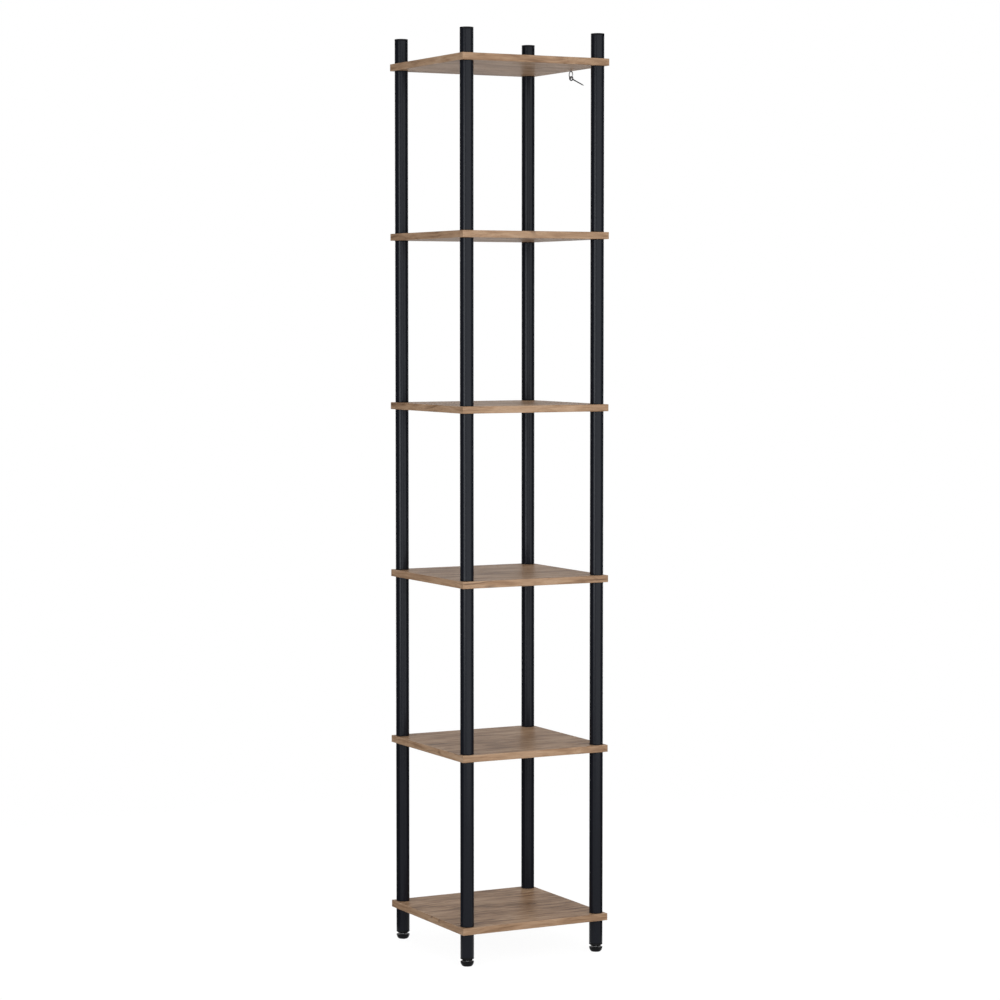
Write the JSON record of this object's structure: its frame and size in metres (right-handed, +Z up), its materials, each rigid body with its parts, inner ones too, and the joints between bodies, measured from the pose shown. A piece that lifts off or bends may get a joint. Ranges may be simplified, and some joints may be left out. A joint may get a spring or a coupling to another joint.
{
  "type": "corner shelf unit",
  "caption": "Tall square corner shelf unit: oak-effect boards clamped between black screw-together tube posts, with capped finials, levelling feet and a wall tie.",
  "frame": {"origin": "on the floor, under the middle of the boards", "axes": "+Z up; -Y is the front; the sides at +X and +Y stand against the walls of the corner"},
  "size_m": [0.3689, 0.35, 1.9756],
  "materials": {
    "shelf_board": "brown oak-effect melamine with a satin sheen and tan edge bands",
    "post_tube": "satin charcoal-black powder coat",
    "end_plastic": "black moulded plastic",
    "foot_plastic": "black moulded plastic, half gloss",
    "bright_steel": "bright zinc-plated steel",
    "dark_steel": "dark blued steel"
  },
  "bodies": {
    "unit": {"shelf_1": "shelf_board", "shelf_2": "shelf_board", "shelf_3": "shelf_board", "shelf_4": "shelf_board", "shelf_5": "shelf_board", "shelf_6": "shelf_board", "post_front_left_1": "post_tube", "post_front_left_2": "post_tube", "post_front_left_3": "post_tube", "post_front_left_4": "post_tube", "post_front_left_5": "post_tube", "finial_front_left": "post_tube", "leg_front_left": "post_tube", "finial_cap_front_left": "end_plastic", "leg_plug_front_left": "end_plastic", "post_front_right_1": "post_tube", "post_front_right_2": "post_tube", "post_front_right_3": "post_tube", "post_front_right_4": "post_tube", "post_front_right_5": "post_tube", "finial_front_right": "post_tube", "leg_front_right": "post_tube", "finial_cap_front_right": "end_plastic", "leg_plug_front_right": "end_plastic", "post_back_left_1": "post_tube", "post_back_left_2": "post_tube", "post_back_left_3": "post_tube", "post_back_left_4": "post_tube", "post_back_left_5": "post_tube", "finial_back_left": "post_tube", "leg_back_left": "post_tube", "finial_cap_back_left": "end_plastic", "leg_plug_back_left": "end_plastic", "post_back_right_1": "post_tube", "post_back_right_2": "post_tube", "post_back_right_3": "post_tube", "post_back_right_4": "post_tube", "post_back_right_5": "post_tube", "finial_back_right": "post_tube", "leg_back_right": "post_tube", "finial_cap_back_right": "end_plastic", "leg_plug_back_right": "end_plastic", "shelf_screw_eye": "bright_steel"},
    "stem_front_left": {"foot_stem_front_left": "bright_steel"},
    "base_front_left": {"foot_base_front_left": "foot_plastic"},
    "stem_front_right": {"foot_stem_front_right": "bright_steel"},
    "base_front_right": {"foot_base_front_right": "foot_plastic"},
    "stem_back_left": {"foot_stem_back_left": "bright_steel"},
    "base_back_left": {"foot_base_back_left": "foot_plastic"},
    "stem_back_right": {"foot_stem_back_right": "bright_steel"},
    "base_back_right": {"foot_base_back_right": "foot_plastic"},
    "wall_eye": {"wall_screw_eye": "dark_steel"}
  },
  "joints": [
    {"name": "foot_front_left_height", "type": "slide", "parent": "unit", "child": "stem_front_left", "axis": [0, 0, -1], "range_m": [-0.00201, 0.01001]},
    {"name": "foot_front_left_turn", "type": "hinge", "parent": "stem_front_left", "child": "base_front_left", "pos_m": [-0.1565, -0.1565, 0], "axis": [0, 0, -1], "range_deg": [-576, 2880]},
    {"name": "foot_front_right_height", "type": "slide", "parent": "unit", "child": "stem_front_right", "axis": [0, 0, -1], "range_m": [-0.00201, 0.01001]},
    {"name": "foot_front_right_turn", "type": "hinge", "parent": "stem_front_right", "child": "base_front_right", "pos_m": [0.1565, -0.1565, 0], "axis": [0, 0, -1], "range_deg": [-576, 2880]},
    {"name": "foot_back_left_height", "type": "slide", "parent": "unit", "child": "stem_back_left", "axis": [0, 0, -1], "range_m": [-0.00201, 0.01001]},
    {"name": "foot_back_left_turn", "type": "hinge", "parent": "stem_back_left", "child": "base_back_left", "pos_m": [-0.1565, 0.1565, 0], "axis": [0, 0, -1], "range_deg": [-576, 2880]},
    {"name": "foot_back_right_height", "type": "slide", "parent": "unit", "child": "stem_back_right", "axis": [0, 0, -1], "range_m": [-0.00201, 0.01001]},
    {"name": "foot_back_right_turn", "type": "hinge", "parent": "stem_back_right", "child": "base_back_right", "pos_m": [0.1565, 0.1565, 0], "axis": [0, 0, -1], "range_deg": [-576, 2880]},
    {"name": "wall_eye_swing", "type": "hinge", "parent": "unit", "child": "wall_eye", "pos_m": [0.1615, -0.0305, 1.8901], "axis": [0, 1, 0], "range_deg": [-24, 156]}
  ],
  "couplings": [
    {"joint": "foot_front_left_height", "follows": "foot_front_left_turn", "m_per_rad": 0.00019894},
    {"joint": "foot_front_right_height", "follows": "foot_front_right_turn", "m_per_rad": 0.00019894},
    {"joint": "foot_back_left_height", "follows": "foot_back_left_turn", "m_per_rad": 0.00019894},
    {"joint": "foot_back_right_height", "follows": "foot_back_right_turn", "m_per_rad": 0.00019894}
  ]
}
